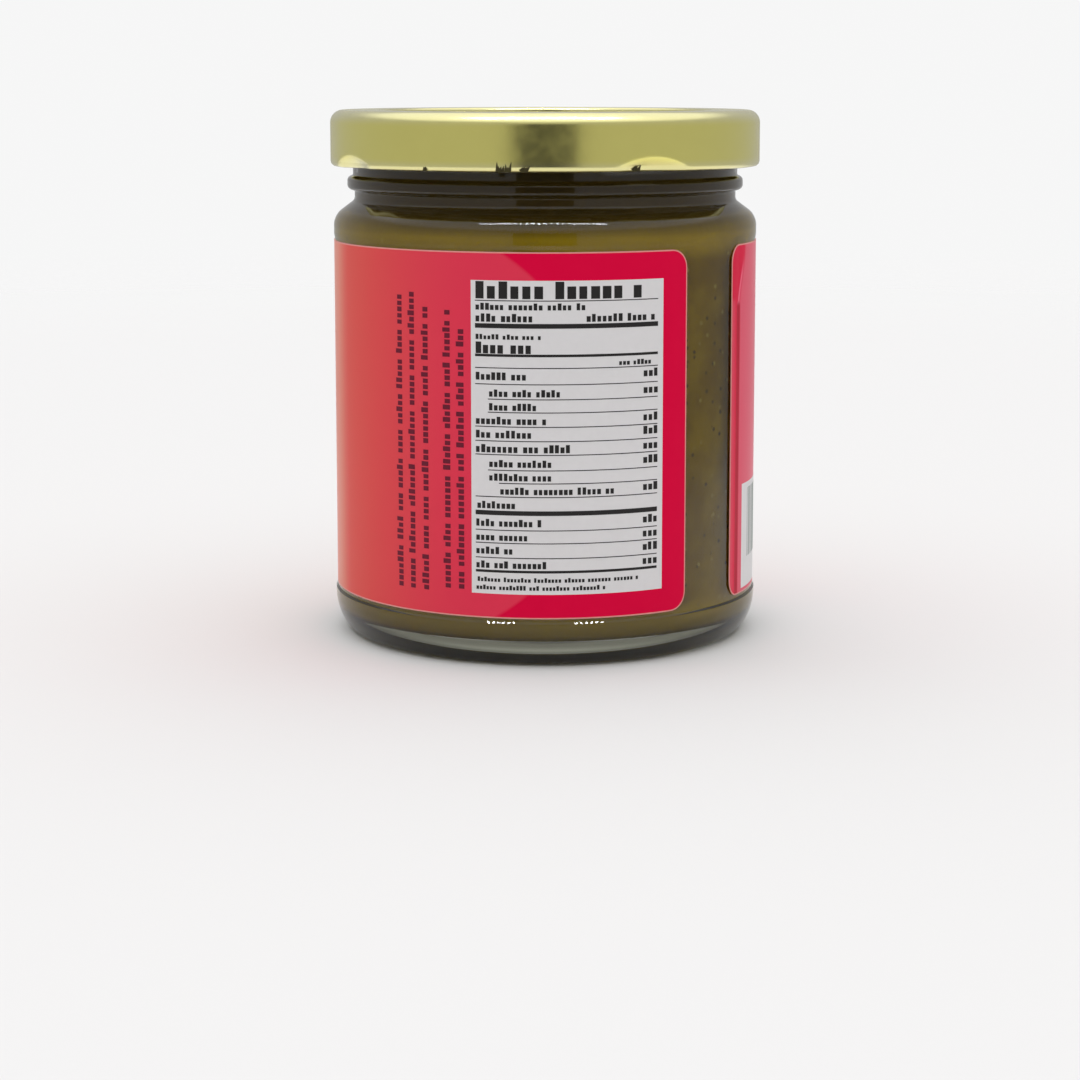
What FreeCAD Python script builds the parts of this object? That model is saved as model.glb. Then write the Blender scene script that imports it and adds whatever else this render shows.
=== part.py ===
import FreeCAD, Part
import math
import os

# A filled jar of chutney, in millimetres: a straight-sided glass jar with a lug finish, the
# chutney inside it, the pressed metal lid with its sealing ring, and the wrap-round label.
# Z is up. The origin is the centre of the foot ring, on the surface the jar stands on, and
# -Y is the front. Directions round the jar are degrees from the front towards the right (+X).

# Glass body
panel_diameter = 71.76          # the recessed wall that carries the label
heel_ring_rise = 0.37           # how far the ring below the label stands proud
shoulder_ring_rise = 0.12       # and the ring above it
wall = 2.8
foot_inset = 2.35               # from the heel to where its slope would meet the floor
foot_width = 3.5
foot_rounding = 2.8
foot_inner_rounding = 1.2
heel_slope_height = 4.0
heel_rounding = 8.2
heel_ring_top = 7.0
ring_step = 0.7                 # height over which a ring blends into the label panel
ring_rounding = 1.0
push_up = 2.0                   # hollow under the base, at its middle
push_up_edge = 1.5
push_up_margin = 2.9            # between the foot ring and the corner of the push-up
push_up_rounding = 8.0
base_thickness = 3.0
base_edge_lift = 0.9            # the inside floor is this much lower at its edge
inner_heel_rounding = 4.5

# Shoulder, neck and finish
jar_height = 88.0
shoulder_band = 3.7             # straight wall between the label panel and the shoulder slope
shoulder_drop = 4.25            # from the bead down to where wall and shoulder slope would meet
shoulder_rounding = 3.0
shoulder_slope = 36.8           # degrees above level
inner_shoulder_drop = 1.4       # the inner shoulder corner lies this much lower
inner_shoulder_rounding = 3.0
inner_neck_rounding = 4.0
neck_inset = 0.27               # the neck is this much slimmer than the finish
neck_rounding = 1.0
bead_projection = 0.95          # transfer bead below the lid, past the finish wall
bead_gap = 1.55                 # between the bead and the lid above it
bead_height = 2.6
bead_slope = 0.4
bead_rounding = 0.75
bead_root_rounding = 0.3
rim_width = 3.5
rim_outer_rounding = 1.2
rim_inner_rounding = 0.9

# Lug threads of the glass and lugs of the lid
lug_count = 4
lug_direction = 28.5            # the first lug, from the front towards the right
thread_side_clearance = 0.45    # between a thread and the hem that passes over it
thread_rounding = 1.4           # section radius of a thread
thread_angle = 58.0             # how far each thread runs round the neck
thread_lead = 10.0              # degrees of thread past the seated lug
thread_rise = 2.0               # over the whole thread
thread_clearance = 0.15         # between a seated lug and the thread above it
lug_clearance = 0.7             # between a lug and the finish wall

# Lid
lid_overhang = 0.57             # how far the lid stands out past the label panel
lid_height = 9.4
lid_metal = 0.25
lid_corner_rounding = 2.1
hem_radius = 0.85               # rolled edge at the bottom of the skirt
channel_overhang = 1.2          # from the mouth to where the top steps down into it
panel_drop = 1.0
channel_rounding = 0.55
panel_rounding = 0.3
button_radius = 11.0
button_drop = 0.4
button_slope = 2.0
button_rounding = 1.5
lug_width = 12.5
lug_depth = 1.4                 # how far the hem is pressed inwards
lug_slope = 38.0                # lean of the pressed metal above the hem
lug_hem_radius = 0.8            # the hem is squeezed a little at the lugs
lug_flat = 0.05                 # and flattened this much where the leaning metal leaves it
skirt_join_height = 3.2         # where the plain skirt ends and the band with the lugs begins

# Sealing ring in the channel of the lid
seal_thickness = 0.65
seal_inner_gap = 0.25           # to the step of the lid
seal_outer_gap = 0.35           # to the rounded corner of the lid
seal_rounding = 0.2

# Contents
headspace = 7.5                 # from the top of the chutney to the rim of the jar

# Label
label_thickness = 0.12
label_margin_below = 0.5        # bare panel under the label
label_margin_above = 0.3
label_gap = 18.6                # degrees of bare glass between the two ends
label_gap_direction = 48.7      # middle of that gap
label_corner = 3.0

panel_radius = panel_diameter / 2
heel_radius = panel_radius + heel_ring_rise
shoulder_radius = panel_radius + shoulder_ring_rise
inner_radius = panel_radius - wall
foot_outer_radius = heel_radius - foot_inset
foot_inner_radius = foot_outer_radius - foot_width
push_up_radius = foot_inner_radius - push_up_margin
lid_radius = panel_radius + lid_overhang
lid_top = jar_height + seal_thickness + lid_metal
lid_bottom = lid_top - lid_height
hem_height = lid_bottom + hem_radius
hem_circle_radius = lid_radius - hem_radius
hem_join = lid_bottom + skirt_join_height
finish_radius = hem_circle_radius - lug_depth - lug_hem_radius - lug_clearance
thread_radius = hem_circle_radius - hem_radius - thread_side_clearance
neck_radius = finish_radius - neck_inset
bead_radius = finish_radius + bead_projection
bead_top = lid_bottom - bead_gap
bead_bottom = bead_top - bead_height
mouth_radius = finish_radius - rim_width
shoulder_height = bead_bottom - shoulder_drop
panel_top = shoulder_height - shoulder_band
channel_inner_radius = mouth_radius - channel_overhang
seal_inner_radius = channel_inner_radius + lid_metal + seal_inner_gap
seal_outer_radius = lid_radius - lid_corner_rounding - seal_outer_gap
fill_level = jar_height - headspace
label_radius = panel_radius + label_thickness
label_bottom = heel_ring_top + ring_step + label_margin_below
label_top = panel_top - label_margin_above
up = FreeCAD.Vector(0, 0, 1)
axis_foot = FreeCAD.Vector(0, 0, 0)


def rounded_face(corners):
    """Face in the XZ plane through (radius, height, rounding) corners, each rounded by an arc."""
    points = [FreeCAD.Vector(radius, 0, height) for radius, height, rounding in corners]
    edges = []
    arc_ends = []
    for index, (radius, height, rounding) in enumerate(corners):
        corner = points[index]
        back = (points[index - 1] - corner).normalize()
        onward = (points[(index + 1) % len(points)] - corner).normalize()
        if rounding == 0:
            arc_ends.append((corner, corner))
            continue
        half_opening = back.getAngle(onward) / 2
        reach = rounding / math.tan(half_opening)
        towards_centre = (back + onward).normalize()
        centre = corner + towards_centre * (rounding / math.sin(half_opening))
        start = corner + back * reach
        end = corner + onward * reach
        edges.append(Part.Arc(start, centre - towards_centre * rounding, end).toShape())
        arc_ends.append((start, end))
    for index, (start, end) in enumerate(arc_ends):
        next_start = arc_ends[(index + 1) % len(arc_ends)][0]
        if end.distanceToPoint(next_start) > 1e-6:
            edges.append(Part.LineSegment(end, next_start).toShape())
    return Part.Face(Part.Wire(Part.__sortEdges__(edges)))


def turned(corners):
    """Solid of revolution of a rounded outline about the axis of the jar."""
    return rounded_face(corners).revolve(axis_foot, up, 360)


def facing(shape, direction):
    """Turns a shape built on the +X side to a direction counted from the front."""
    shape.rotate(axis_foot, up, direction - 90)
    return shape


def slope_height(radius, start_radius, start_height):
    """Height of the shoulder slope at a radius, from a point it passes through."""
    return start_height + (start_radius - radius) * math.tan(math.radians(shoulder_slope))


def outer_jar():
    """The outside of the jar as one full solid, from push-up to rim."""
    neck_foot = slope_height(neck_radius, shoulder_radius, shoulder_height)
    return turned([
        (0, push_up, 0),
        (push_up_radius, push_up_edge, push_up_rounding),
        (foot_inner_radius, 0, foot_inner_rounding),
        (foot_outer_radius, 0, foot_rounding),
        (heel_radius, heel_slope_height, heel_rounding),
        (heel_radius, heel_ring_top, ring_rounding),
        (panel_radius, heel_ring_top + ring_step, ring_rounding),
        (panel_radius, panel_top, ring_rounding),
        (shoulder_radius, panel_top + ring_step, ring_rounding),
        (shoulder_radius, shoulder_height, shoulder_rounding),
        (neck_radius, neck_foot, neck_rounding),
        (neck_radius, bead_bottom, bead_root_rounding),
        (bead_radius, bead_bottom + bead_slope, bead_rounding),
        (bead_radius, bead_top - bead_slope, bead_rounding),
        (finish_radius, bead_top, bead_root_rounding),
        (finish_radius, jar_height, rim_outer_rounding),
        (0, jar_height, 0),
    ])


def cavity():
    """The inside of the jar as a solid that reaches up to the rim."""
    shoulder_corner = shoulder_height - inner_shoulder_drop
    neck_corner = slope_height(mouth_radius, inner_radius, shoulder_corner)
    floor_height = push_up + base_thickness
    return turned([
        (0, floor_height, 0),
        (inner_radius, floor_height - base_edge_lift, inner_heel_rounding),
        (inner_radius, shoulder_corner, inner_shoulder_rounding),
        (mouth_radius, neck_corner, inner_neck_rounding),
        (mouth_radius, jar_height, 0),
        (0, jar_height, 0),
    ])


def rim_inner_cutter():
    """Ring that takes the sharp inner corner off the rim."""
    corner = FreeCAD.Vector(mouth_radius, 0, jar_height)
    centre = corner + FreeCAD.Vector(rim_inner_rounding, 0, -rim_inner_rounding)
    middle = centre + FreeCAD.Vector(-1, 0, 1).normalize() * rim_inner_rounding
    low = FreeCAD.Vector(mouth_radius, 0, jar_height - rim_inner_rounding)
    high = FreeCAD.Vector(mouth_radius + rim_inner_rounding, 0, jar_height)
    outline = [
        Part.Arc(low, middle, high).toShape(),
        Part.LineSegment(high, corner).toShape(),
        Part.LineSegment(corner, low).toShape(),
    ]
    return Part.Face(Part.Wire(outline)).revolve(axis_foot, up, 360)


def glass_thread(direction):
    """One slanted thread with rounded ends, its low end just past the seated lug."""
    circle_radius = thread_radius - thread_rounding
    lug_top = hem_height + lug_hem_radius
    low_height = lug_top + thread_clearance + thread_rounding
    rise_per_degree = thread_rise / thread_angle
    middle_angle = thread_angle / 2
    middle_height = low_height + rise_per_degree * (middle_angle - thread_lead)
    body = Part.makeTorus(circle_radius, thread_rounding, axis_foot, up, 0, 360, thread_angle)
    body.rotate(axis_foot, up, -middle_angle)
    for side in (-1, 1):
        turn = math.radians(side * middle_angle)
        end = FreeCAD.Vector(math.cos(turn), math.sin(turn), 0) * circle_radius
        body = body.fuse(Part.makeSphere(thread_rounding, end))
    tilt = math.degrees(math.atan2(thread_rise / 2, circle_radius * math.sin(math.radians(middle_angle))))
    body.rotate(axis_foot, FreeCAD.Vector(1, 0, 0), tilt)
    body.translate(FreeCAD.Vector(0, 0, middle_height))
    return facing(body, direction + middle_angle - thread_lead)


def lug_directions():
    """Directions of the lugs, evenly spaced."""
    return [lug_direction + 360 * index / lug_count for index in range(lug_count)]


def glass_jar():
    """The blown jar with its lug threads."""
    threads = [glass_thread(direction) for direction in lug_directions()]
    jar = outer_jar().fuse(threads).removeSplitter()
    return jar.cut(cavity()).cut(rim_inner_cutter())


def chutney():
    """The contents, filling the inside up to a flat top."""
    above = Part.makeCylinder(panel_radius, jar_height, FreeCAD.Vector(0, 0, fill_level))
    return cavity().cut(above)


def lid_shell():
    """Drawn metal of the lid down to the join: button, sunk panel, channel over the rim, skirt."""
    panel_height = lid_top - panel_drop
    button_height = panel_height - button_drop
    channel_underside = lid_top - lid_metal
    skirt_inside = lid_radius - lid_metal
    step_inside = channel_inner_radius + lid_metal
    button_foot = button_radius + button_slope
    return turned([
        (0, button_height, 0),
        (button_radius, button_height, button_rounding),
        (button_foot, panel_height, button_rounding),
        (channel_inner_radius, panel_height, panel_rounding),
        (channel_inner_radius, lid_top, channel_rounding),
        (lid_radius, lid_top, lid_corner_rounding),
        (lid_radius, hem_join, 0),
        (skirt_inside, hem_join, 0),
        (skirt_inside, channel_underside, lid_corner_rounding - lid_metal),
        (step_inside, channel_underside, channel_rounding - lid_metal),
        (step_inside, panel_height - lid_metal, panel_rounding + lid_metal),
        (button_foot, panel_height - lid_metal, button_rounding),
        (button_radius, button_height - lid_metal, button_rounding),
        (0, button_height - lid_metal, 0),
    ])


def hem_band():
    """The foot of the skirt, rolled inwards into a hem."""
    centre = FreeCAD.Vector(hem_circle_radius, 0, hem_height)
    inside = lid_radius - lid_metal
    closing = math.acos((inside - centre.x) / hem_radius)
    touch = FreeCAD.Vector(lid_radius, 0, hem_height)
    far_side = centre - FreeCAD.Vector(1, 0, 1).normalize() * hem_radius
    closed = FreeCAD.Vector(inside, 0, hem_height + hem_radius * math.sin(closing))
    inner_top = FreeCAD.Vector(inside, 0, hem_join)
    outer_top = FreeCAD.Vector(lid_radius, 0, hem_join)
    outline = [
        Part.LineSegment(outer_top, touch).toShape(),
        Part.Arc(touch, far_side, closed).toShape(),
        Part.LineSegment(closed, inner_top).toShape(),
        Part.LineSegment(inner_top, outer_top).toShape(),
    ]
    return Part.Face(Part.Wire(outline)).revolve(axis_foot, up, 360)


def press_radius():
    """Radius of the arc that the hem of a lug follows, from the width and depth of the lug."""
    half_width = lug_width / 2
    hem_bow = hem_circle_radius - math.sqrt(hem_circle_radius ** 2 - half_width ** 2)
    press_bow = lug_depth - hem_bow
    return (half_width ** 2 + press_bow ** 2) / (2 * press_bow)


def press_cone(past_face, low, high, direction):
    """Cone of the press that forms one lug, its side this far past the face of the lug.

    Its upright axis stands outside the lid, and it widens downwards.
    """
    lean = math.radians(lug_slope)
    axis_distance = hem_circle_radius - lug_depth + press_radius()
    level_radius = press_radius() - (lug_hem_radius - lug_flat - past_face) / math.cos(lean)
    low_radius = level_radius + (hem_height - low) * math.tan(lean)
    high_radius = level_radius - (high - hem_height) * math.tan(lean)
    foot = FreeCAD.Vector(axis_distance, 0, low)
    return facing(Part.makeCone(low_radius, high_radius, high - low, foot), direction)


def lug_metal(direction):
    """The hem and the leaning wall of one lug, the wall still backed out to the skirt."""
    span = 2 * math.degrees(math.asin(lug_width / 2 / press_radius()))
    hem = Part.makeTorus(press_radius(), lug_hem_radius, axis_foot, up, 0, 360, span)
    hem.rotate(axis_foot, up, 180 - span / 2)
    axis_distance = hem_circle_radius - lug_depth + press_radius()
    hem.translate(FreeCAD.Vector(axis_distance, 0, hem_height))
    hem = facing(hem, direction)
    middle_of_skirt = lid_radius - lid_metal / 2
    foot = FreeCAD.Vector(0, 0, hem_height)
    inside = Part.makeCylinder(middle_of_skirt, hem_join - hem_height, foot)
    wall_metal = press_cone(lid_metal, hem_height, hem_join, direction).common(inside)
    return hem.fuse(wall_metal)


def lid():
    """The pressed lid: drawn shell and rolled hem, with the hem pressed inwards at each lug."""
    band = hem_band().fuse([lug_metal(direction) for direction in lug_directions()])
    below = lid_bottom - hem_radius
    presses = [press_cone(0, below, hem_join, direction) for direction in lug_directions()]
    return lid_shell().fuse(band.cut(presses)).removeSplitter()


def lid_seal():
    """Ring of sealing compound between the channel of the lid and the rim of the jar."""
    return turned([
        (seal_inner_radius, jar_height, seal_rounding),
        (seal_outer_radius, jar_height, seal_rounding),
        (seal_outer_radius, jar_height + seal_thickness, 0),
        (seal_inner_radius, jar_height + seal_thickness, 0),
    ])


def label_corner_cutter(direction, side, height, rise):
    """What comes off one corner of the label: a square peg less the round that stays.

    The label lies on the side (1 or -1) of increasing direction, and above (1) or below (-1).
    """
    size = 2 * label_corner
    start = panel_radius - label_corner
    peg = Part.makeBox(size, size, size, FreeCAD.Vector(start, -label_corner, -label_corner))
    round_start = FreeCAD.Vector(start, side * label_corner, rise * label_corner)
    kept = Part.makeCylinder(label_corner, size, round_start, FreeCAD.Vector(1, 0, 0))
    cutter = peg.cut(kept)
    cutter.translate(FreeCAD.Vector(0, 0, height))
    return facing(cutter, direction)


def label():
    """The paper label: a band round the jar with rounded corners and a gap at one side."""
    start_direction = label_gap_direction + label_gap / 2
    end_direction = label_gap_direction - label_gap / 2
    section = Part.Face(Part.makePolygon([
        FreeCAD.Vector(panel_radius, 0, label_bottom),
        FreeCAD.Vector(label_radius, 0, label_bottom),
        FreeCAD.Vector(label_radius, 0, label_top),
        FreeCAD.Vector(panel_radius, 0, label_top),
        FreeCAD.Vector(panel_radius, 0, label_bottom),
    ]))
    band = facing(section.revolve(axis_foot, up, 360 - label_gap), start_direction)
    for direction, side in ((start_direction, 1), (end_direction, -1)):
        for height, rise in ((label_bottom, 1), (label_top, -1)):
            band = band.cut(label_corner_cutter(direction, side, height, rise))
    return band


if __name__ == "__main__":
    os.makedirs("parts", exist_ok=True)
    pieces = {
        "glass_jar": glass_jar(),
        "chutney": chutney(),
        "lid": lid(),
        "lid_seal": lid_seal(),
        "label": label(),
    }
    for name, piece in pieces.items():
        print(name, piece.isValid(), len(piece.Solids), round(piece.Volume, 1))
        piece.exportStep("parts/" + name + ".step")
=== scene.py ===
import math
import random

import bmesh
import bpy
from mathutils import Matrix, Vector


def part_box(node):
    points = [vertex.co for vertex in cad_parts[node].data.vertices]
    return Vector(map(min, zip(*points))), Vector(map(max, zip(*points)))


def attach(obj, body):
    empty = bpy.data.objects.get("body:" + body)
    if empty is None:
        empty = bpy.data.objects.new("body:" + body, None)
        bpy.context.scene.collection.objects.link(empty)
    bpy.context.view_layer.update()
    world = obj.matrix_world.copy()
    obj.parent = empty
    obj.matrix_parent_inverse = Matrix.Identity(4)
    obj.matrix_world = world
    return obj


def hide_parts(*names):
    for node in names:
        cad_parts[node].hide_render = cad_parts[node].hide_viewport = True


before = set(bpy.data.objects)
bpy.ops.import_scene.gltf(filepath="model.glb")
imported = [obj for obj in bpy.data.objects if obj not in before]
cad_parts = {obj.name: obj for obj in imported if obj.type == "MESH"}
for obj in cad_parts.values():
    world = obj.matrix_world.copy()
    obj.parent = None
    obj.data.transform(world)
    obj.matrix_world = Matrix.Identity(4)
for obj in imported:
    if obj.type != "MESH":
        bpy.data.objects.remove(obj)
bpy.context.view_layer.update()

# A filled jar of chutney with its lug lid and its wrap-round label, in metres. -Y is the front,
# and directions round the jar are degrees from the front towards the right (+X).
MM = 0.001

glass_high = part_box("glass_jar")[1]
chutney_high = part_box("chutney")[1]
lid_low, lid_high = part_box("lid")
label_low, label_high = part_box("label")

# Glass body
rim_height = glass_high.z
heel_radius = glass_high.x
panel_radius = heel_radius - 0.37 * MM
inner_radius = chutney_high.x
foot_outer_radius = heel_radius - 2.35 * MM
foot_inner_radius = heel_radius - 5.85 * MM
heel_slope_height = 4.0 * MM
heel_ring_top = 7.32 * MM
panel_bottom = 7.7 * MM
shoulder_step = 0.7 * MM
push_up = 2.0 * MM
push_up_edge = 1.5 * MM
push_up_radius = 27.5 * MM
floor_height = 5.0 * MM
floor_edge_height = 4.1 * MM
# Heights over which the glass darkens from its foot into a band of painted shade under the chutney's floor
base_shade_low = 2.2 * MM
base_shade_high = 3.8 * MM
panel_top = 67.4 * MM
shoulder_radius = panel_radius + 0.12 * MM
shoulder_height = 71.1 * MM
shoulder_slope = math.tan(math.radians(36.8))
neck_radius = 32.43 * MM
bead_radius = 33.65 * MM
bead_bottom = 75.35 * MM
bead_top = 77.95 * MM
bead_slope = 0.4 * MM
finish_radius = 32.7 * MM
mouth_radius = 29.2 * MM
inner_shoulder_height = shoulder_height - 1.4 * MM
thread_radius = 1.4 * MM
thread_circle = finish_radius + 0.2 * MM
thread_angle = 58.0
thread_rise = 2.0 * MM
thread_lead = 10.0
thread_clearance = 0.15 * MM
thread_steps = 18
lug_hem_radius = 0.8 * MM

# Lid
lid_radius = lid_high.x
lid_metal = 0.25 * MM
hem_radius = 0.85 * MM
hem_height = lid_low.z + hem_radius
hem_steps = 10
channel_inner_radius = 28.0 * MM
panel_drop = 1.0 * MM
button_radius = 11.0 * MM
button_drop = 0.4 * MM
lug_count = 4
lug_direction = 28.5
lug_width = 12.5 * MM
lug_depth = 1.4 * MM
lug_slope = math.radians(42.0)
lug_softness = 0.28 * MM
press_reach = 2.6 * MM
divided_wall = 2.2 * MM

# Dried bits on the hem, in degrees and mm
dried_bits = [
    # direction, width, height, number of shards, how far inwards they sit
    (-10.3, 2.4, 1.9, 7, 0), (-4.8, 1.1, 1.7, 4, 0), (-31.6, 0.3, 1.2, 2, 0), (24.2, 0.9, 1.3, 4, 0.8),
]
shard_foot, shard_tip, shard_flatness = 0.31 * MM, 0.04 * MM, 0.42

# Contents, which reach a little into the wall, so that no air shows between them
wall_overlap = 0.15 * MM
fill_level = chutney_high.z

# How fine the herb in the chutney is, how much of it is dark or light, and where painted light makes the
# paste paler
herb_scale = 900.0
dark_share, light_share = 0.12, 0.07
lit_shoulder_low, lit_shoulder_high = 64.5 * MM, 67.5 * MM
lit_heel_low, lit_heel_high = 6.5 * MM, 9.5 * MM

# Label
print_radius = label_high.x
label_thickness = 0.12 * MM
label_bottom = label_low.z
label_top = label_high.z
label_start = 58.0
label_end = 39.4
label_corner = 3.0 * MM
label_middle = math.radians((label_start + label_end - 360) / 2)
cut_edge_width = 0.22 * MM
column_angle = 1.5

# End of the label past the gap, in mm along it and up from the floor: the fold line, the crease
# in which it runs out, and the paper paled by painted sheen
fold_place = 39.35
crease_low, crease_high, crease_reach = 56.5, 67.0, 2.6
painted_sheen_full, painted_sheen_end = 50.0, 82.0
lifted_end = math.radians(4.0)

# Round-ended field on the label, in mm along it from the front and up from the floor
field_radius, field_softness = 34.3, 0.35
field_left, field_right, field_middle = -112.0, -25.4, 38.0
coral_full, pink_full = -46.0, -8.0
# Where the salmon, partly print and partly painted sheen, begins and is full
salmon_sheen_full, salmon_sheen_start = -47.5, -40.5

# Print of the label: how deep it is sunk, how far each ink stands proud, and the places of the table,
# the bars and their rows, in mm as above
print_depth = 0.03 * MM
white_height = 0.012 * MM
ink_height = 0.024 * MM
table_left, table_right, table_low, table_high = -12.0, 19.9, 12.2, 62.6
bars_left, bars_right, bars_low, bars_high = 41.8, 76.0, 8.9, 26.7
rule_right = 18.9
value_left = 16.3
table_rules = [
    # height, width, left end
    (59.4, 0.15, -11.3), (55.4, 0.75, -11.3), (50.7, 0.42, -11.3), (48.7, 0.15, -11.3),
    (46.1, 0.15, -11.3), (43.7, 0.15, -9.2), (41.6, 0.15, -9.2), (39.3, 0.15, -11.3),
    (37.0, 0.15, -11.3), (34.8, 0.15, -11.3), (32.3, 0.15, -9.2), (30.2, 0.15, -7.4),
    (28.0, 0.15, -11.3), (25.4, 0.75, -11.3), (22.6, 0.15, -11.3), (20.5, 0.15, -11.3),
    (18.1, 0.15, -11.3), (15.9, 0.42, -11.3),
]
table_text = [
    # left end, middle height, length, height of the blocks, distance from block to block
    (-11.2, 60.9, 28.8, 2.0, 1.9),
    (-11.2, 58.4, 18.5, 0.8, 0.8), (-11.2, 56.6, 9.9, 0.95, 0.88), (6.6, 56.6, 12.0, 0.9, 0.88),
    (-11.2, 53.6, 10.8, 0.6, 0.66), (-11.2, 51.8, 9.8, 1.35, 1.2), (17.3, 52.4, 1.5, 2.1, 1.5),
    (12.0, 49.4, 6.6, 0.6, 0.66), (-11.2, 47.3, 8.8, 0.9, 0.86), (-9.0, 44.6, 12.2, 0.85, 0.8),
    (-9.0, 42.4, 8.6, 0.85, 0.8), (-11.2, 40.2, 12.4, 0.9, 0.86), (-11.2, 38.0, 10.2, 0.9, 0.86),
    (-11.2, 35.7, 16.8, 0.95, 0.88), (-9.0, 33.3, 11.4, 0.85, 0.8), (-9.0, 31.1, 11.0, 0.85, 0.8),
    (-7.2, 28.9, 18.8, 0.85, 0.8), (-11.0, 26.6, 7.6, 0.85, 0.8), (-11.2, 23.7, 11.2, 0.85, 0.8),
    (-11.2, 21.4, 9.2, 0.85, 0.8), (-11.2, 19.2, 6.2, 0.85, 0.8), (-11.2, 16.9, 12.0, 0.85, 0.8),
    (-11.0, 14.5, 27.0, 0.55, 0.56), (-11.2, 13.2, 21.2, 0.55, 0.56),
]
table_values = (47.6, 44.9, 40.5, 38.3, 35.9, 33.6, 29.2, 23.9, 21.6, 19.4, 17.1)
upright_text = [
    # baseline, low end, length
    (-25.1, 12.0, 48.6), (-22.5, 12.0, 48.8), (-19.8, 12.0, 46.8), (-15.7, 12.7, 45.9),
    (-13.3, 12.7, 42.5),
]
tall_block = 1.38
word_gap = 0.75
bar_widths = (0.25, 0.5, 0.75)
bar_gaps = (0.25, 0.35, 0.6)


def edit(piece):
    """Opens a piece for editing, alone and with nothing of it selected."""
    bpy.ops.object.select_all(action="DESELECT")
    piece.select_set(True)
    bpy.context.view_layer.objects.active = piece
    bpy.ops.object.mode_set(mode="EDIT")
    bpy.ops.mesh.select_mode(type="VERT")
    bpy.ops.mesh.select_all(action="DESELECT")


def done():
    """Closes the edit."""
    bpy.ops.object.mode_set(mode="OBJECT")


def pick(test):
    """Selects the points of the open piece that pass a test of their place."""
    mesh = bmesh.from_edit_mesh(bpy.context.object.data)
    for point in mesh.verts:
        point.select = test(point.co)
    mesh.select_flush_mode()
    bmesh.update_edit_mesh(bpy.context.object.data)


def everything():
    """Selects all of the open piece."""
    bpy.ops.mesh.select_all(action="SELECT")


def start(name, add, scale=(1, 1, 1), **shape):
    """Adds a primitive with nothing else selected, and puts its place into its mesh."""
    bpy.ops.object.select_all(action="DESELECT")
    add(**shape)
    piece = bpy.context.object
    piece.name = name
    piece.data.name = name
    piece.scale = scale
    bpy.ops.object.transform_apply(location=True, rotation=True, scale=True)
    return piece


def empty_piece(name, finish):
    """A piece with nothing in it yet, opened for its parts."""
    piece = start(name, bpy.ops.mesh.primitive_cube_add, size=1, location=(0, 0, 0), scale=(MM, MM, MM))
    edit(piece)
    everything()
    bpy.ops.mesh.delete(type="VERT")
    piece.data.materials.append(finish)
    return piece


def profile(name, corners):
    """A chain of edges in the XZ plane through (radius, height, rounding) corners, each rounded."""
    first_radius, first_height, _ = corners[0]
    piece = start(name, bpy.ops.mesh.primitive_plane_add, size=MM,
                  location=(first_radius, 0, first_height))
    edit(piece)
    everything()
    bpy.ops.mesh.merge(type="CENTER")
    for (radius, height, _), (next_radius, next_height, _) in zip(corners, corners[1:]):
        step = (next_radius - radius, 0, next_height - height)
        bpy.ops.mesh.extrude_region_move(TRANSFORM_OT_translate={"value": step})
    points = [Vector((radius, 0, height)) for radius, height, _ in corners]
    for before, here, after, corner in zip(points, points[1:], points[2:], corners[1:]):
        if corner[2] > 0:
            turn = math.pi - (before - here).angle(after - here)
            pick(lambda place: (place - here).length < 1e-6)
            bpy.ops.mesh.bevel(affect="VERTICES", offset=corner[2] * math.tan(turn / 2),
                               segments=3 + round(turn * 5), profile=0.5, clamp_overlap=False)
    return piece


def turned(name, corners, steps=192):
    """A closed piece turned about the axis of the jar from a rounded profile."""
    piece = profile(name, corners)
    everything()
    bpy.ops.mesh.spin(steps=steps, angle=2 * math.pi, center=(0, 0, 0), axis=(0, 0, 1))
    everything()
    bpy.ops.mesh.remove_doubles(threshold=1e-7)
    bpy.ops.mesh.normals_make_consistent(inside=False)
    done()
    bpy.ops.object.shade_smooth()
    return piece


def place_in_frame(piece, finish, slot, *nodes):
    """Gives a finished piece its material, the body it rides on and what it stands for. The slot is not
    used.
    """
    if finish is not None:
        piece.data.materials.clear()
        piece.data.materials.append(finish)
    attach(piece, "root")
    if nodes:
        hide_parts(*nodes)


# Materials

# Colours, in linear red, green and blue
wall_tint = (0.95, 0.97, 0.94, 1)
# Foot: greener thick glass, darkened with painted shade. Base band: almost black painted shade.
foot_tint_and_shade, base_painted_shade = (0.31, 0.32, 0.26, 1), (0.070, 0.070, 0.052, 1)
wall_shadow, foot_shadow = (0.90, 0.93, 0.88, 1), (0.30, 0.32, 0.28, 1)
deep_paste, bright_paste = (0.170, 0.102, 0.004, 1), (0.260, 0.170, 0.006, 1)
dark_fleck, light_fleck = (0.095, 0.070, 0.008, 1), (0.28, 0.21, 0.03, 1)
# Paste paled by painted light, and paste darkened by painted shade under the lid by the neck
painted_light_paste, neck_painted_shade = (0.40, 0.27, 0.012, 1), (0.095, 0.060, 0.010, 1)
deep_lacquer, bright_lacquer = (0.86, 0.79, 0.22, 1), (0.90, 0.83, 0.24, 1)
# Paler lacquer for the painted highlight along the top edge and the hem
painted_highlight_lacquer = (0.88, 0.83, 0.42, 1)
dull_compound, pale_compound = (0.62, 0.60, 0.55, 1), (0.70, 0.68, 0.63, 1)
crimson, pink = (0.700, 0.001, 0.046, 1), (0.740, 0.040, 0.085, 1)
# Salmon is partly print and partly painted sheen
coral, salmon_and_sheen = (0.720, 0.100, 0.080, 1), (0.75, 0.24, 0.17, 1)
# Paper paled by painted sheen: past the fold, and on the lifted strip
painted_sheen_paper, lifted_sheen_paper = (0.78, 0.20, 0.27, 1), (0.78, 0.16, 0.22, 1)
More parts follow.
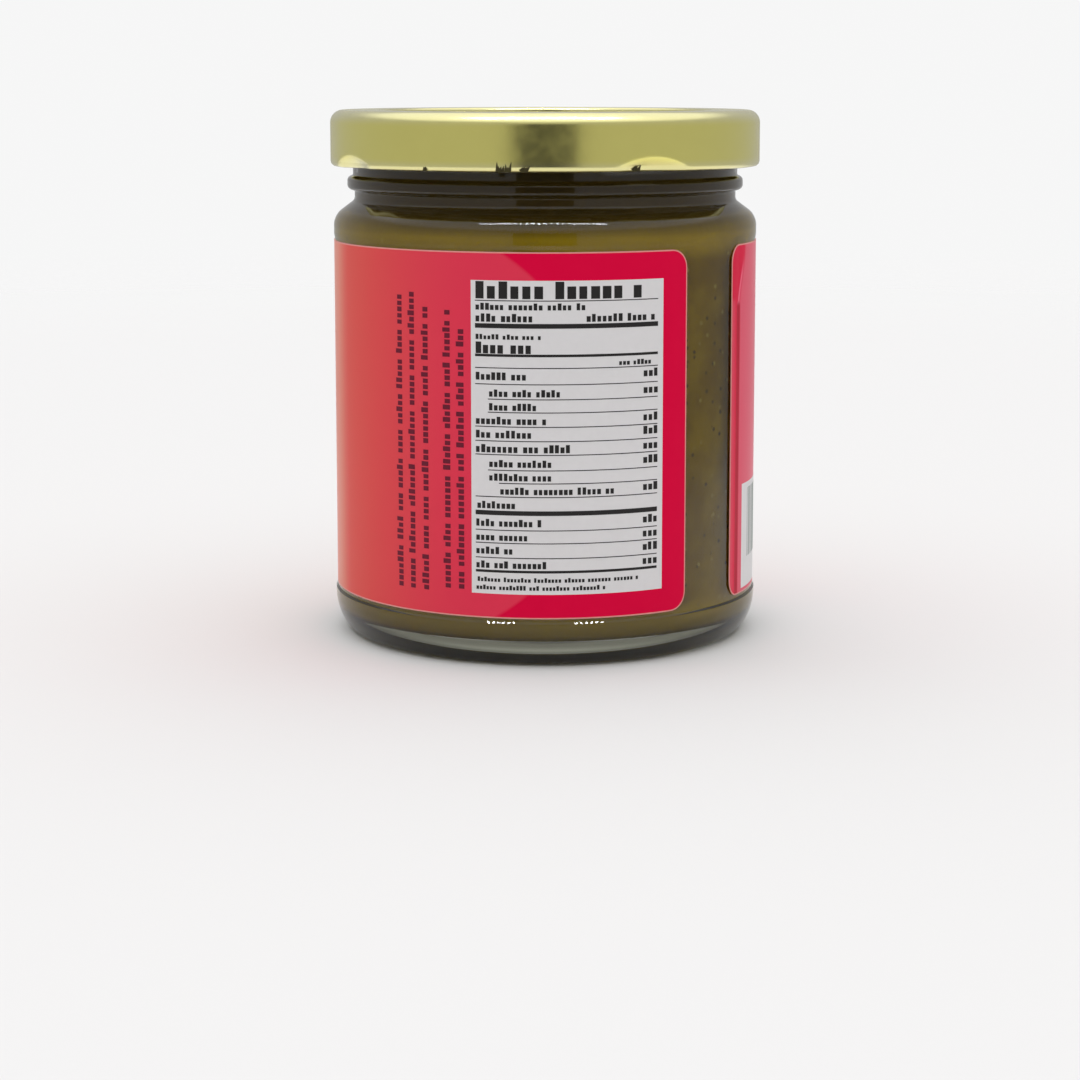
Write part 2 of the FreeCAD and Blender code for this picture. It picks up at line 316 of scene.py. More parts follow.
# Painted shade along the fold line; the crease line is paler
fold_painted_shade, crease_shade = (0.44, 0.000, 0.022, 1), (0.86, 0.15, 0.24, 1)
fibre_shade = (0.9, 0.02, 0.08, 1)


def new_finish(name, **settings):
    """A material with one Principled shader, its all-over values set on the shader's own sockets."""
    finish = bpy.data.materials.new(name)
    finish.use_nodes = True
    shader = finish.node_tree.nodes["Principled BSDF"]
    for socket, value in settings.items():
        shader.inputs[socket.replace("_", " ")].default_value = value
    return finish, shader


def node(finish, kind, settings=None, **inputs):
    """Adds a node, sets its properties, and feeds its inputs with values or other sockets."""
    made = finish.node_tree.nodes.new("ShaderNode" + kind)
    for name, value in (settings or {}).items():
        setattr(made, name, value)
    for name, value in inputs.items():
        socket = made.inputs[int(name[1:])] if name[1:].isdigit() else made.inputs[name.replace("_", " ")]
        if isinstance(value, bpy.types.NodeSocket):
            finish.node_tree.links.new(value, socket)
        else:
            socket.default_value = value
    return made


def place_on_piece(finish):
    """The place of a surface point, in the piece's own coordinates."""
    return node(finish, "TexCoord").outputs["Object"]


def calculate(finish, operation, *values):
    """The result of one Math node."""
    inputs = {"i" + str(index): value for index, value in enumerate(values)}
    return node(finish, "Math", {"operation": operation}, **inputs).outputs[0]


def blend(finish, share, low, high):
    """A colour between two others."""
    return node(finish, "Mix", {"data_type": "RGBA"}, i0=share, i6=low, i7=high).outputs[2]


def mixed(finish, share, low, high):
    """A value between two others."""
    return node(finish, "Mix", {"data_type": "FLOAT"}, i0=share, i2=low, i3=high).outputs[0]


def graded(finish, value, low, high, first, last):
    """Maps a value between two limits smoothly onto another range."""
    return node(finish, "MapRange", {"interpolation_type": "SMOOTHSTEP"}, i0=value,
                i1=low, i2=high, i3=first, i4=last).outputs[0]


def noise(finish, scale, detail=2.0, roughness=0.5):
    """The value of a noise pattern over the piece."""
    return node(finish, "TexNoise", Vector=place_on_piece(finish), Scale=scale, Detail=detail,
                Roughness=roughness).outputs[0]


def relief(finish, shader, height, strength, distance):
    """Gives a shader fine relief from a height pattern."""
    bump = node(finish, "Bump", Height=height, Strength=strength, Distance=distance)
    finish.node_tree.links.new(bump.outputs[0], shader.inputs["Normal"])


def see_through(finish, share, shader, tint):
    """Turns a share of the finish into plain tinted air."""
    air = node(finish, "BsdfTransparent", Color=tint)
    either = node(finish, "MixShader", i0=share, i1=shader.outputs[0], i2=air.outputs[0])
    output = finish.node_tree.nodes["Material Output"]
    finish.node_tree.links.new(either.outputs[0], output.inputs["Surface"])


def colour(shader, socket):
    """Feeds the base colour of a shader."""
    shader.id_data.links.new(socket, shader.inputs["Base Color"])


def height_on_piece(finish):
    """The height of a surface point above the floor."""
    return node(finish, "SeparateXYZ", Vector=place_on_piece(finish)).outputs[2]


def glass_finish():
    """Clear glass, greener in its thick foot and darkened there with painted shade from under the jar,
    which lets light through to what is inside.
    """
    finish, shader = new_finish("clear_glass", Roughness=0.0, IOR=1.5, Transmission_Weight=1.0)
    relief(finish, shader, noise(finish, 60.0), 0.04, 0.2 * MM)
    height = height_on_piece(finish)
    in_wall = graded(finish, height, floor_edge_height + 0.2 * MM, floor_height + 0.4 * MM, 0.0, 1.0)
    # Above the foot the glass turns almost black up to the wall: painted shade under the chutney's floor
    in_base_shade = graded(finish, height, base_shade_low, base_shade_high, 0.0, 1.0)
    foot = blend(finish, in_base_shade, foot_tint_and_shade, base_painted_shade)
    colour(shader, blend(finish, in_wall, foot, wall_tint))
    shadow_tint = blend(finish, in_wall, foot_shadow, wall_shadow)
    see_through(finish, node(finish, "LightPath").outputs["Is Shadow Ray"], shader, shadow_tint)
    return finish


def chutney_finish():
    """Olive-brown paste with fine chopped herb in it, paler with painted light at the heel and under the
    shoulder, and darker with painted shade by the neck.
    """
    finish, shader = new_finish("chutney_paste", Roughness=0.6, Specular_IOR_Level=0.0)
    cloud = graded(finish, noise(finish, 90.0, 4.0), 0.35, 0.65, 0.0, 1.0)
    paste = blend(finish, cloud, deep_paste, bright_paste)
    cells = node(finish, "TexVoronoi", {"feature": "F1"}, Vector=place_on_piece(finish), Scale=herb_scale)
    fleck = graded(finish, cells.outputs["Distance"], 0.15, 0.45, 1.0, 0.0)
    chance = node(finish, "SeparateColor", Color=cells.outputs["Color"]).outputs[0]
    dark = calculate(finish, "MULTIPLY", fleck, calculate(finish, "GREATER_THAN", chance, 1 - dark_share))
    light = calculate(finish, "MULTIPLY", fleck, calculate(finish, "LESS_THAN", chance, light_share))
    paste = blend(finish, dark, paste, dark_fleck)
    paste = blend(finish, light, paste, light_fleck)
    height = height_on_piece(finish)
    # Painted light under the shoulder and at the heel, and painted shade by the neck
    shoulder_light = graded(finish, height, lit_shoulder_low, lit_shoulder_high, 0.0, 0.65)
    heel_light = graded(finish, height, lit_heel_low, lit_heel_high, 0.8, 0.0)
    pale = calculate(finish, "ADD", shoulder_light, heel_light)
    paste = blend(finish, pale, paste, painted_light_paste)
    neck_shade = graded(finish, height, shoulder_height - 2.6 * MM, shoulder_height - 0.2 * MM, 0.0, 1.0)
    colour(shader, blend(finish, neck_shade, paste, neck_painted_shade))
    relief(finish, shader, noise(finish, 500.0, 4.0), 0.5, 0.25 * MM)
    return finish


def lid_finish():
    """Gold lacquer over bright tinplate, with a painted highlight of paler lacquer along the top edge and
    the hem.
    """
    finish, shader = new_finish("gold_lacquer", Metallic=1.0, Coat_Weight=0.7, Coat_Roughness=0.34)
    cloud = noise(finish, 45.0, 3.0)
    lacquer = blend(finish, cloud, deep_lacquer, bright_lacquer)
    height = height_on_piece(finish)
    # Paler lacquer along the top edge and the hem is a painted highlight
    top_highlight = graded(finish, height, lid_high.z - 2.4 * MM, lid_high.z - 0.7 * MM, 0.0, 1.0)
    hem_highlight = graded(finish, height, lid_low.z + 0.5 * MM, lid_low.z + 2.0 * MM, 0.8, 0.0)
    edge_highlight = calculate(finish, "ADD", top_highlight, hem_highlight)
    colour(shader, blend(finish, edge_highlight, lacquer, painted_highlight_lacquer))
    rough = graded(finish, noise(finish, 400.0, 3.0), 0.3, 0.7, 0.20, 0.27)
    finish.node_tree.links.new(rough, shader.inputs["Roughness"])
    relief(finish, shader, noise(finish, 1500.0, 2.0), 0.03, 0.05 * MM)
    return finish


def seal_finish():
    """Sealing compound, a soft grey-white plastic."""
    finish, shader = new_finish("sealing_compound", Roughness=0.6)
    colour(shader, blend(finish, noise(finish, 300.0), dull_compound, pale_compound))
    return finish


def place_on_label(finish):
    """Place along the label, which is 0 at the front and falls round the left side, and height, in mm."""
    place = node(finish, "SeparateXYZ", Vector=place_on_piece(finish))
    right, back, height = (calculate(finish, "DIVIDE", place.outputs[index], MM) for index in range(3))
    turn = calculate(finish, "ARCTAN2", right, calculate(finish, "MULTIPLY", back, -1.0))
    seam = math.radians((label_start + label_end) / 2)
    over_seam = calculate(finish, "GREATER_THAN", turn, seam)
    turn = calculate(finish, "SUBTRACT", turn, calculate(finish, "MULTIPLY", over_seam, 2 * math.pi))
    return calculate(finish, "MULTIPLY", turn, print_radius / MM), height


def printed_ground(finish, along, height):
    """Crimson with one wide round-ended field on it: pink near the front, then coral, then salmon print
    with painted sheen towards the left side.
    """
    nearest = calculate(finish, "MAXIMUM", calculate(finish, "MINIMUM", along, field_right), field_left)
    aside = calculate(finish, "SUBTRACT", along, nearest)
    above = calculate(finish, "SUBTRACT", height, field_middle)
    squares = calculate(finish, "ADD", calculate(finish, "MULTIPLY", aside, aside),
                        calculate(finish, "MULTIPLY", above, above))
    inside = graded(finish, calculate(finish, "SQRT", squares),
                    field_radius - field_softness, field_radius + field_softness, 1.0, 0.0)
    warm = graded(finish, along, coral_full, pink_full, 1.0, 0.0)
    field = blend(finish, warm, pink, coral)
    # Salmon towards the left side is partly print and partly painted sheen
    pale = graded(finish, along, salmon_sheen_full, salmon_sheen_start, 1.0, 0.0)
    field = blend(finish, pale, field, salmon_and_sheen)
    return blend(finish, inside, crimson, field)


def worn_end(finish, ground, along, height):
    """The far end: a fold line of painted shade that runs out in a curved crease, with painted sheen on
    the lifted strip before it and on the paper past it.
    """
    past = calculate(finish, "ADD", along, 2 * math.pi * print_radius / MM)
    climb = graded(finish, height, crease_low, crease_high, 0.0, 1.0)
    crease = calculate(finish, "ADD", calculate(finish, "MULTIPLY", climb, crease_reach), fold_place)
    beyond = calculate(finish, "SUBTRACT", past, crease)
    near_end = graded(finish, past, painted_sheen_full, painted_sheen_end, 1.0, 0.0)
    # Painted sheen makes the paper past the fold paler, fading further round
    painted_sheen = calculate(finish, "MULTIPLY", graded(finish, beyond, -0.1, 1.2, 0.0, 0.5), near_end)
    ground = blend(finish, painted_sheen, ground, painted_sheen_paper)
    # Painted sheen on the lifted strip between the end and the fold
    lifted_sheen = graded(finish, beyond, -2.6, -0.6, 0.35, 0.0)
    lifted_sheen = calculate(finish, "MULTIPLY", lifted_sheen, graded(finish, climb, 0.0, 0.1, 1.0, 0.0))
    ground = blend(finish, lifted_sheen, ground, lifted_sheen_paper)
    # A dark line of painted shade along the fold, turning into a paler crease line higher up
    in_crease = graded(finish, climb, 0.0, 0.05, 0.0, 1.0)
    from_line = calculate(finish, "ABSOLUTE", beyond)
    line = mixed(finish, in_crease, graded(finish, from_line, 0.4, 1.0, 1.0, 0.0),
                 graded(finish, from_line, 0.1, 0.5, 1.0, 0.0))
    line_colour = blend(finish, in_crease, fold_painted_shade, crease_shade)
    fading = graded(finish, climb, 0.5, 0.95, 0.9, 0.0)
    return blend(finish, calculate(finish, "MULTIPLY", line, fading), ground, line_colour)


def label_finish():
    """Coated paper, printed all over."""
    finish, shader = new_finish("label_paper", Roughness=0.4, Specular_IOR_Level=0.05, Sheen_Weight=0.25,
                                Sheen_Roughness=0.25)
    along, height = place_on_label(finish)
    ground = worn_end(finish, printed_ground(finish, along, height), along, height)
    fibres = graded(finish, noise(finish, 250.0, 4.0), 0.3, 0.7, 0.0, 0.03)
    colour(shader, blend(finish, fibres, ground, fibre_shade))
    relief(finish, shader, noise(finish, 1200.0, 3.0), 0.06, 0.05 * MM)
    return finish


def matt_finish(name, base, other):
    """Printing ink, cut paper or dried chutney, uneven by a shade."""
    finish, shader = new_finish(name, Roughness=0.45, Specular_IOR_Level=0.25)
    colour(shader, blend(finish, noise(finish, 900.0, 3.0), base, other))
    return finish


glass = glass_finish()
paste = chutney_finish()
gold = lid_finish()
compound = seal_finish()
coated_paper = label_finish()
cut_edge = matt_finish("label_cut_edge", (0.68, 0.22, 0.20, 1), (0.76, 0.34, 0.30, 1))
white_ground = matt_finish("label_white", (0.70, 0.685, 0.69, 1), (0.74, 0.725, 0.73, 1))
black_ink = matt_finish("label_black_ink", (0.012, 0.011, 0.011, 1), (0.022, 0.020, 0.020, 1))
maroon_ink = matt_finish("label_maroon_ink", (0.11, 0.003, 0.018, 1), (0.16, 0.006, 0.026, 1))
dried = matt_finish("dried_chutney", (0.030, 0.024, 0.006, 1), (0.055, 0.045, 0.010, 1))
grey_ink = matt_finish("label_grey_ink", (0.30, 0.34, 0.32, 1), (0.34, 0.38, 0.36, 1))


# Pieces that are drawn flat in the XZ plane and then bent round the axis of the jar

def divide_columns(radius, low, high):
    """Cuts the open piece into columns, so that it bends smoothly round a radius."""
    step = radius * math.radians(column_angle)
    for index in range(math.ceil(low / step), math.floor(high / step) + 1):
        everything()
        bpy.ops.mesh.bisect(plane_co=(index * step, 0, 0), plane_no=(1, 0, 0))


def wrap(piece, radius, middle):
    """Bends a flat piece round the axis of the jar, its middle turned to a direction."""
    edges = [point.co.x for point in piece.data.vertices]
    bend = piece.modifiers.new("round_the_jar", "SIMPLE_DEFORM")
    bend.deform_method = "BEND"
    bend.deform_axis = "Z"
    bend.angle = (max(edges) - min(edges)) / radius
    bpy.ops.object.modifier_apply(modifier=bend.name)
    edit(piece)
    everything()
    bpy.ops.transform.translate(value=(0, -radius, 0))
    bpy.ops.transform.rotate(value=-middle, orient_axis="Z", center_override=(0, 0, 0))
    bpy.ops.mesh.normals_make_consistent(inside=False)
    done()


# Glass and contents

def inside_corners(grown=0.0, top=rim_height):
    """Profile corners of the inside of the jar, from its top down, grown into the wall."""
    neck_corner = inner_shoulder_height + (inner_radius - mouth_radius) * shoulder_slope
    return [
        (mouth_radius + grown, top, 0),
        (mouth_radius + grown, neck_corner, 4.0 * MM),
        (inner_radius + grown, inner_shoulder_height, 3.0 * MM),
        (inner_radius + grown, floor_edge_height - grown, 4.5 * MM),
        (0, floor_height - grown, 0),
    ]


def jar_corners():
    """Profile corners of the glass, from the middle of the push-up to the rim and down the inside."""
    neck_foot = shoulder_height + (shoulder_radius - neck_radius) * shoulder_slope
    outside = [
        (0, push_up, 0),
        (push_up_radius, push_up_edge, 8.0 * MM),
        (foot_inner_radius, 0, 1.2 * MM),
        (foot_outer_radius, 0, 2.8 * MM),
        (heel_radius, heel_slope_height, 8.2 * MM),
        (heel_radius, heel_ring_top, 0.2 * MM),
        (panel_radius, panel_bottom, 0.2 * MM),
        (panel_radius, panel_top, 1.0 * MM),
        (shoulder_radius, panel_top + shoulder_step, 1.0 * MM),
        (shoulder_radius, shoulder_height, 3.0 * MM),
        (neck_radius, neck_foot, 1.0 * MM),
        (neck_radius, bead_bottom, 0.3 * MM),
        (bead_radius, bead_bottom + bead_slope, 0.75 * MM),
        (bead_radius, bead_top - bead_slope, 0.75 * MM),
        (finish_radius, bead_top, 0.3 * MM),
        (finish_radius, rim_height, 1.2 * MM),
    ]
    inside = inside_corners()
    inside[0] = (mouth_radius, rim_height, 0.9 * MM)
    return outside + inside


def make_thread():
    """One lug thread: a round bar with rounded ends, slanted a little and bent round the neck."""
    run = thread_circle * math.radians(thread_angle)
    length = run + 2 * thread_radius
    bar = start("thread", bpy.ops.mesh.primitive_cylinder_add, vertices=20, radius=thread_radius,
                depth=length, rotation=(0, math.pi / 2, 0))
    edit(bar)
    for index in range(thread_steps + 1):
        everything()
        bpy.ops.mesh.bisect(plane_co=(run * (index / thread_steps - 0.5), 0, 0), plane_no=(1, 0, 0))
    pick(lambda place: abs(place.x) > length / 2 - 0.01 * MM)
    bpy.ops.mesh.bevel(affect="EDGES", offset=0.9 * thread_radius, segments=5, clamp_overlap=False)
    everything()
    bpy.ops.transform.rotate(value=math.atan2(thread_rise, run), orient_axis="Y",
                             center_override=(0, 0, 0))
    over_lug = hem_height + lug_hem_radius + thread_clearance + thread_radius
    middle_rise = thread_rise * (0.5 - thread_lead / thread_angle)
    bpy.ops.transform.translate(value=(0, 0, over_lug + middle_rise))
    bpy.ops.mesh.normals_make_consistent(inside=False)
    done()
    wrap(bar, thread_circle, math.radians(lug_direction + thread_angle / 2 - thread_lead))
    bpy.ops.object.shade_smooth()
    return bar


def fuse_threads(jar):
    """Fuses one thread to the jar at each of its places round the neck."""
    thread = make_thread()
    for _ in range(lug_count):
        fuse = jar.modifiers.new("thread", "BOOLEAN")
        fuse.operation = "UNION"
        fuse.object = thread
        bpy.context.view_layer.objects.active = jar
        bpy.ops.object.modifier_apply(modifier=fuse.name)
        edit(thread)
        everything()
        bpy.ops.transform.rotate(value=2 * math.pi / lug_count, orient_axis="Z", center_override=(0, 0, 0))
        done()
    bpy.data.objects.remove(thread)


def make_glass():
    """The jar, hollow, with its threads."""
    jar = turned("glass", jar_corners())
    fuse_threads(jar)
    place_in_frame(jar, glass, "clear_glass", "glass_jar")


def make_chutney():
    """The contents up to the fill level."""
    corners = [(0, fill_level, 0)] + inside_corners(wall_overlap, fill_level)
    contents = turned("chutney_fill", corners)
    place_in_frame(contents, paste, "chutney_paste", "chutney")


# Lid

def straight(radius, low, high, count):
    """Plain corners evenly spaced up a straight wall."""
    return [(radius, low + (high - low) * index / count, 0) for index in range(count + 1)]


def lid_corners():
    """Profile corners of the lid: the top and outside down to the hem, and back up the inside."""
    top = lid_high.z
    panel = top - panel_drop
    button = panel - button_drop
    button_foot = button_radius + 2.0 * MM
    skirt_inside = lid_radius - lid_metal
    step_inside = channel_inner_radius + lid_metal
    closing = math.acos((hem_radius - lid_metal) / hem_radius)
    wall_top = hem_height + divided_wall
    hem = []
    for index in range(1, hem_steps):
        turn = -(2 * math.pi - closing) * index / hem_steps
        hem.append((lid_radius - hem_radius + hem_radius * math.cos(turn),
                    hem_height + hem_radius * math.sin(turn), 0))
    return [
        (0, button, 0),
        (button_radius, button, 1.5 * MM),
        (button_foot, panel, 1.5 * MM),
        (channel_inner_radius, panel, 0.3 * MM),
        (channel_inner_radius, top, 0.55 * MM),
        (lid_radius, top, 2.1 * MM),
        *reversed(straight(lid_radius, hem_height, wall_top, 12)),
        *hem,
        *straight(skirt_inside, hem_height + hem_radius * math.sin(closing), wall_top, 8),
        (skirt_inside, top - lid_metal, 1.85 * MM),
        (step_inside, top - lid_metal, 0.3 * MM),
        (step_inside, panel - lid_metal, 0.55 * MM),
        (button_foot, panel - lid_metal, 1.5 * MM),
        (button_radius, button - lid_metal, 1.5 * MM),
        (0, button - lid_metal, 0),
    ]


def press_lugs(lid):
    """Presses the hem inwards at each lug, as a cone outside the lid that widens downwards would.

    No operator gives that shape, so the points are moved by the formula of the cone.
    """
    half_width = lug_width / 2
    hem_circle = lid_radius - hem_radius
    bow = lug_depth - (hem_circle - math.sqrt(hem_circle ** 2 - half_width ** 2))
    press_radius = (half_width ** 2 + bow ** 2) / (2 * bow)
    axis_distance = hem_circle - lug_depth + press_radius
    level_radius = press_radius - (hem_radius - 0.1 * MM) / math.cos(lug_slope)
    press_top = hem_height + press_reach
    spacing = 360 / lug_count
    for point in lid.data.vertices:
        if point.co.z > press_top or point.co.xy.length < mouth_radius:
            continue
        direction = math.degrees(math.atan2(point.co.x, -point.co.y)) - lug_direction
        aside = math.radians((direction + spacing / 2) % spacing - spacing / 2)
        rise = max(0.0, point.co.z - hem_height)
        cone_radius = level_radius - rise * math.tan(lug_slope)
        inside_cone = cone_radius ** 2 - (axis_distance * math.sin(aside)) ** 2
        if cone_radius <= 0 or inside_cone <= 0:
            continue
        near_side = axis_distance * math.cos(aside) - math.sqrt(inside_cone)
        push = lid_radius - near_side
        push = (push + math.sqrt(push ** 2 + lug_softness ** 2)) / 2
        outward = Vector((point.co.x, point.co.y, 0)).normalized()
        point.co -= outward * push


def make_lid():
    """The sheet-metal lid with its rolled hem and its lugs."""
    lid = turned("lid_shell", lid_corners(), 288)
    press_lugs(lid)
    place_in_frame(lid, gold, "gold_lacquer", "lid")


def finish_seal():
    """The ring of sealing compound keeps its CAD shape and gets its own material."""
    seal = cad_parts["lid_seal"]
    seal.data.materials.clear()
    seal.data.materials.append(compound)


def make_specks():
    """Bits of dried chutney caught on the edge of the lid, each a bundle of small shards."""
    draw = random.Random(8)
    specks = empty_piece("dried_specks", dried)
    for direction, width, height, count, inwards in dried_bits:
        front = -lid_radius + (0.05 + inwards) * MM
        for index in range(count):
            aside = (index / (count - 1) - 0.5) * width * draw.uniform(0.8, 1.1)
            tall = height * draw.uniform(0.6, 1.0)
            bpy.ops.mesh.primitive_cone_add(
                vertices=6, radius1=shard_foot, radius2=shard_tip, depth=tall * MM,
                location=(aside * MM, front, lid_low.z + (0.15 + tall / 2) * MM),
                rotation=(0, math.radians(draw.uniform(-6, 38)), 0), scale=(1, shard_flatness, 1))
            bpy.ops.transform.rotate(value=-math.radians(direction), orient_axis="Z",
                                     center_override=(0, 0, 0))
    done()
    place_in_frame(specks, None, "chutney_paste", "lid")


# Label, drawn flat in the XZ plane about its own middle and then wrapped round the jar

def flat(place):
    """Distance from the middle of the flat label of a place counted in mm from the front."""
    return place * MM - print_radius * label_middle


def past_the_seam(place):
    """The same for the other end, whose places are counted past the right-hand gap."""
    return flat(place) - 2 * math.pi * print_radius


def make_sheet():
    """The paper: rounded corners, a pale cut edge all round, and one end lifted past its fold."""
    half_length = flat(0) + print_radius * math.radians(label_end)
    sheet = start("label_sheet", bpy.ops.mesh.primitive_plane_add, size=1,
                  location=(0, 0, (label_bottom + label_top) / 2), rotation=(math.pi / 2, 0, 0),
                  scale=(2 * half_length, label_top - label_bottom, 1))
    edit(sheet)
    everything()
    bpy.ops.mesh.bevel(affect="VERTICES", offset=label_corner, segments=8, profile=0.5)
    bpy.ops.mesh.select_mode(type="FACE")
    everything()
    bpy.ops.mesh.inset(thickness=cut_edge_width)
    sheet.data.materials.append(coated_paper)
    sheet.data.materials.append(cut_edge)
    bpy.ops.mesh.select_all(action="INVERT")
    sheet.active_material_index = 1
    bpy.ops.object.material_slot_assign()
    divide_columns(print_radius, -half_length, half_length)
    fold = past_the_seam(fold_place)
    everything()
    bpy.ops.mesh.bisect(plane_co=(fold, 0, 0), plane_no=(1, 0, 0))
    everything()
    bpy.ops.mesh.extrude_region_shrink_fatten(TRANSFORM_OT_shrink_fatten={"value": -label_thickness})
    bpy.ops.mesh.select_mode(type="VERT")
    everything()
    bpy.ops.mesh.normals_make_consistent(inside=False)
    pick(lambda place: place.x < fold - 0.01 * MM)
    bpy.ops.transform.rotate(value=-lifted_end, orient_axis="Z", center_override=(fold, 0, 0))
    done()
    wrap(sheet, print_radius, label_middle)
    bpy.ops.object.shade_smooth_by_angle(angle=math.radians(30))
    place_in_frame(sheet, None, "label_paper", "label")


def mark(left, right, low, high, height=ink_height):
    """Adds one printed block to the open piece, a little sunk into the paper."""
    bpy.ops.mesh.primitive_cube_add(
        size=1, location=((left + right) / 2, (print_depth - height) / 2, (low + high) / 2 * MM),
        scale=(right - left, print_depth + height, (high - low) * MM))


def row_of_blocks(draw, length, height, pitch, place):
    """Blocks grouped like words along a row; place(near, far, bottom, top) adds each of them."""
    reached = 0.0
    while reached < length - pitch:
        for _ in range(draw.randint(3, 8)):
            if reached > length - pitch:
                break
            rise = height * draw.choice((1.0, 1.0, 1.0, tall_block))
            width = pitch * draw.uniform(0.66, 0.78)
            place(reached, reached + width, 0.0, rise)
            reached += pitch
        reached += pitch * word_gap


def table_row(draw, left, middle, length, height, pitch):
    """One row of blocks that reads along the label."""
    low = middle - height * 0.6
    row_of_blocks(draw, length, height, pitch,
                  lambda near, far, bottom, top: mark(flat(left + near), flat(left + far),
                                                      low + bottom, low + top))


def upright_row(draw, baseline, low, length, height, pitch):
    """One row of blocks that reads up the label."""
    row_of_blocks(draw, length, height, pitch,
                  lambda near, far, bottom, top: mark(flat(baseline - top), flat(baseline - bottom),
                                                      low + near, low + far))


def finish_print(piece):
    """Cuts one ink into columns, closes it and wraps it round the jar."""
    done()
    edges = [point.co.x for point in piece.data.vertices]
    edit(piece)
    divide_columns(print_radius, min(edges), max(edges))
    done()
    wrap(piece, print_radius, label_middle)
    place_in_frame(piece, None, "label_paper", "label")


def make_white_grounds():
    """White under the table and under the bars."""
    piece = empty_piece("label_print_white", white_ground)
    mark(flat(table_left), flat(table_right), table_low, table_high, white_height)
    mark(past_the_seam(bars_left), past_the_seam(bars_right), bars_low, bars_high, white_height)
    finish_print(piece)


def make_table():
    """Rules and rows of blocks on the white ground."""
    draw = random.Random(11)
    piece = empty_piece("label_print_black", black_ink)
    for height, width, left in table_rules:
        mark(flat(left), flat(rule_right), height - width / 2, height + width / 2)
    for left, middle, length, height, pitch in table_text:
        table_row(draw, left, middle, length, height, pitch)
    for middle in table_values:
        table_row(draw, value_left, middle, 2.9, 0.95, 0.95)
    finish_print(piece)


def make_upright_rows():
    """Rows of blocks beside the table."""
    draw = random.Random(5)
    piece = empty_piece("label_print_maroon", maroon_ink)
    for baseline, low, length in upright_text:
        upright_row(draw, baseline, low, length, 0.95, 1.0)
    finish_print(piece)


def make_bars():
    """Upright stripes of uneven width on the white ground at the other end."""
    draw = random.Random(3)
    piece = empty_piece("label_print_grey", grey_ink)
    reached = bars_left + 3.2
    while reached < bars_right - 2.5:
        width = draw.choice(bar_widths)
        mark(past_the_seam(reached), past_the_seam(reached + width), bars_low + 5.0, bars_high - 1.0)
        reached += width + draw.choice(bar_gaps)
    finish_print(piece)


def make_label():
    make_sheet()
    make_white_grounds()
    make_table()
    make_upright_rows()
    make_bars()


# Stage, light and camera
wall_light = 0.46
backdrop_light = 0.9
backdrop_edge = math.cos(math.radians(49.6))
backdrop_softness = 0.01
ceiling_low, ceiling_full = math.radians(28.0), math.radians(42.0)
ceiling_light = 1.65
mirrored_ceiling = 1.05
background_light = 0.925
floor_shade = (0.71, 0.705, 0.705)
floor_fade_start = 0.35
floor_fade_end = 0.95
table_radius = 0.16
led_count = 23
led_distance = 0.015
led_size = 0.0065
led_depth = 0.05
led_thickness = 0.002
led_front = -0.14
led_height = 0.43
led_strength = 34.0
card_size = (0.56, 0.5)
card_place = (0, -0.95, 0.12)
card_shade = (0.06, 0.06, 0.06)
camera_lens = 85.0
camera_shift_x, camera_shift_y = -0.0047, -0.1001
camera_place = (0, -0.43702, 0.09478)
camera_tilt = 7.977


def make_camera():
    """The camera in front of the jar, a little higher than its lid and tilted down."""
    camera = bpy.data.objects.new("camera", bpy.data.cameras.new("camera"))
    bpy.context.scene.collection.objects.link(camera)
    camera.data.lens = camera_lens
    camera.data.shift_x = camera_shift_x
    camera.data.shift_y = camera_shift_y
    camera.location = camera_place
    camera.rotation_euler = (math.radians(90 - camera_tilt), 0, 0)
    bpy.context.scene.camera = camera


def stage_piece(name, size, location, rotation, shade):
    """A flat plane of the studio with a plain finish."""
    piece = start(name, bpy.ops.mesh.primitive_plane_add, size=1, location=location,
                  rotation=rotation, scale=(size[0], size[1], 1))
    finish, shader = new_finish(name, Roughness=0.9, Specular_IOR_Level=0.1, Base_Color=(*shade, 1))
    piece.data.materials.append(finish)
    return piece, finish, shader


def make_floor():
    """A pale floor that fades into the backdrop well away from the jar."""
    _, finish, shader = stage_piece("floor", (4, 4), (0, 0, 0), (0, 0, 0), floor_shade)
    away = node(finish, "VectorMath", {"operation": "LENGTH"}, i0=place_on_piece(finish)).outputs["Value"]
    gone = graded(finish, away, floor_fade_start, floor_fade_end, 0.0, 1.0)
    mirrored = node(finish, "LightPath").outputs["Is Glossy Ray"]
    outside_table = graded(finish, away, table_radius, 2 * table_radius, 0.0, 1.0)
    gone = calculate(finish, "MAXIMUM", gone, calculate(finish, "MULTIPLY", mirrored, outside_table))
    see_through(finish, gone, shader, (1, 1, 1, 1))


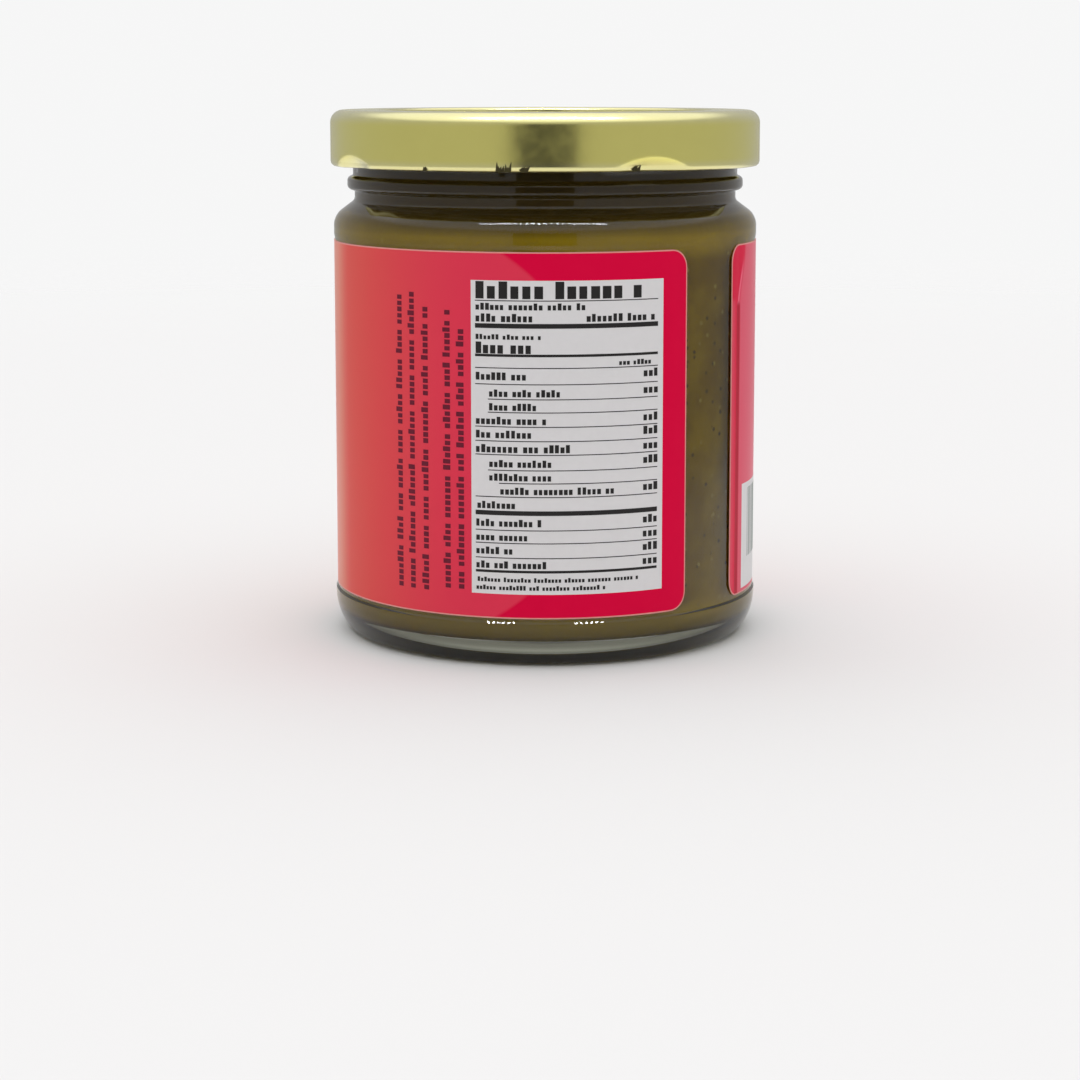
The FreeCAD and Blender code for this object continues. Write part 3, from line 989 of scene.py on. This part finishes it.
def make_led_strip():
    """A row of small lamps overhead, seen only as glints on the glass and the lid."""
    finish, _ = new_finish("led_strip", Emission_Color=(1, 1, 1, 1), Emission_Strength=led_strength)
    strip = empty_piece("led_strip", finish)
    for index in range(led_count):
        place = (index - (led_count - 1) / 2) * led_distance
        bpy.ops.mesh.primitive_cube_add(size=1, location=(place, led_front, led_height),
                                        scale=(led_size, led_depth, led_thickness))
    done()
    strip.visible_camera = False
    strip.visible_diffuse = False


def make_stage():
    make_floor()
    make_led_strip()
    card, _, _ = stage_piece("dark_card", card_size, card_place, (math.pi / 2, 0, 0), card_shade)
    card.visible_camera = False
    card.visible_shadow = False
    card.visible_diffuse = False


def make_world():
    """A plain studio: grey walls, a white backdrop behind, a bright ceiling, pale to the camera."""
    world = bpy.context.scene.world or bpy.data.worlds.new("world")
    bpy.context.scene.world = world
    world.use_nodes = True
    background = world.node_tree.nodes["Background"]
    view = node(world, "SeparateXYZ", Vector=node(world, "TexCoord").outputs["Generated"])
    across, behind, up = view.outputs
    level = calculate(world, "SQRT", calculate(world, "ADD", calculate(world, "MULTIPLY", across, across),
                                               calculate(world, "MULTIPLY", behind, behind)))
    facing_back = calculate(world, "DIVIDE", behind, level)
    path = node(world, "LightPath")
    mirrored = calculate(world, "MULTIPLY", path.outputs["Is Glossy Ray"],
                         calculate(world, "SUBTRACT", 1.0, path.outputs["Is Transmission Ray"]))
    backdrop = graded(world, facing_back, backdrop_edge - backdrop_softness,
                      backdrop_edge + backdrop_softness, 0.0, 1.0)
    backdrop = calculate(world, "MULTIPLY", backdrop, calculate(world, "SUBTRACT", 1.0, mirrored))
    around = mixed(world, backdrop, wall_light, backdrop_light)
    overhead = mixed(world, path.outputs["Is Glossy Ray"], ceiling_light, mirrored_ceiling)
    ceiling = graded(world, up, math.sin(ceiling_low), math.sin(ceiling_full), 0.0, 1.0)
    studio = mixed(world, ceiling, around, overhead)
    strength = mixed(world, path.outputs["Is Camera Ray"], studio, background_light)
    background.inputs["Color"].default_value = (1, 1, 1, 1)
    world.node_tree.links.new(strength, background.inputs["Strength"])


def make_lights():
    make_world()
    bpy.context.scene.view_settings.view_transform = "Standard"


make_camera()
make_stage()
make_lights()
make_glass()
make_chutney()
make_lid()
finish_seal()
make_specks()
make_label()
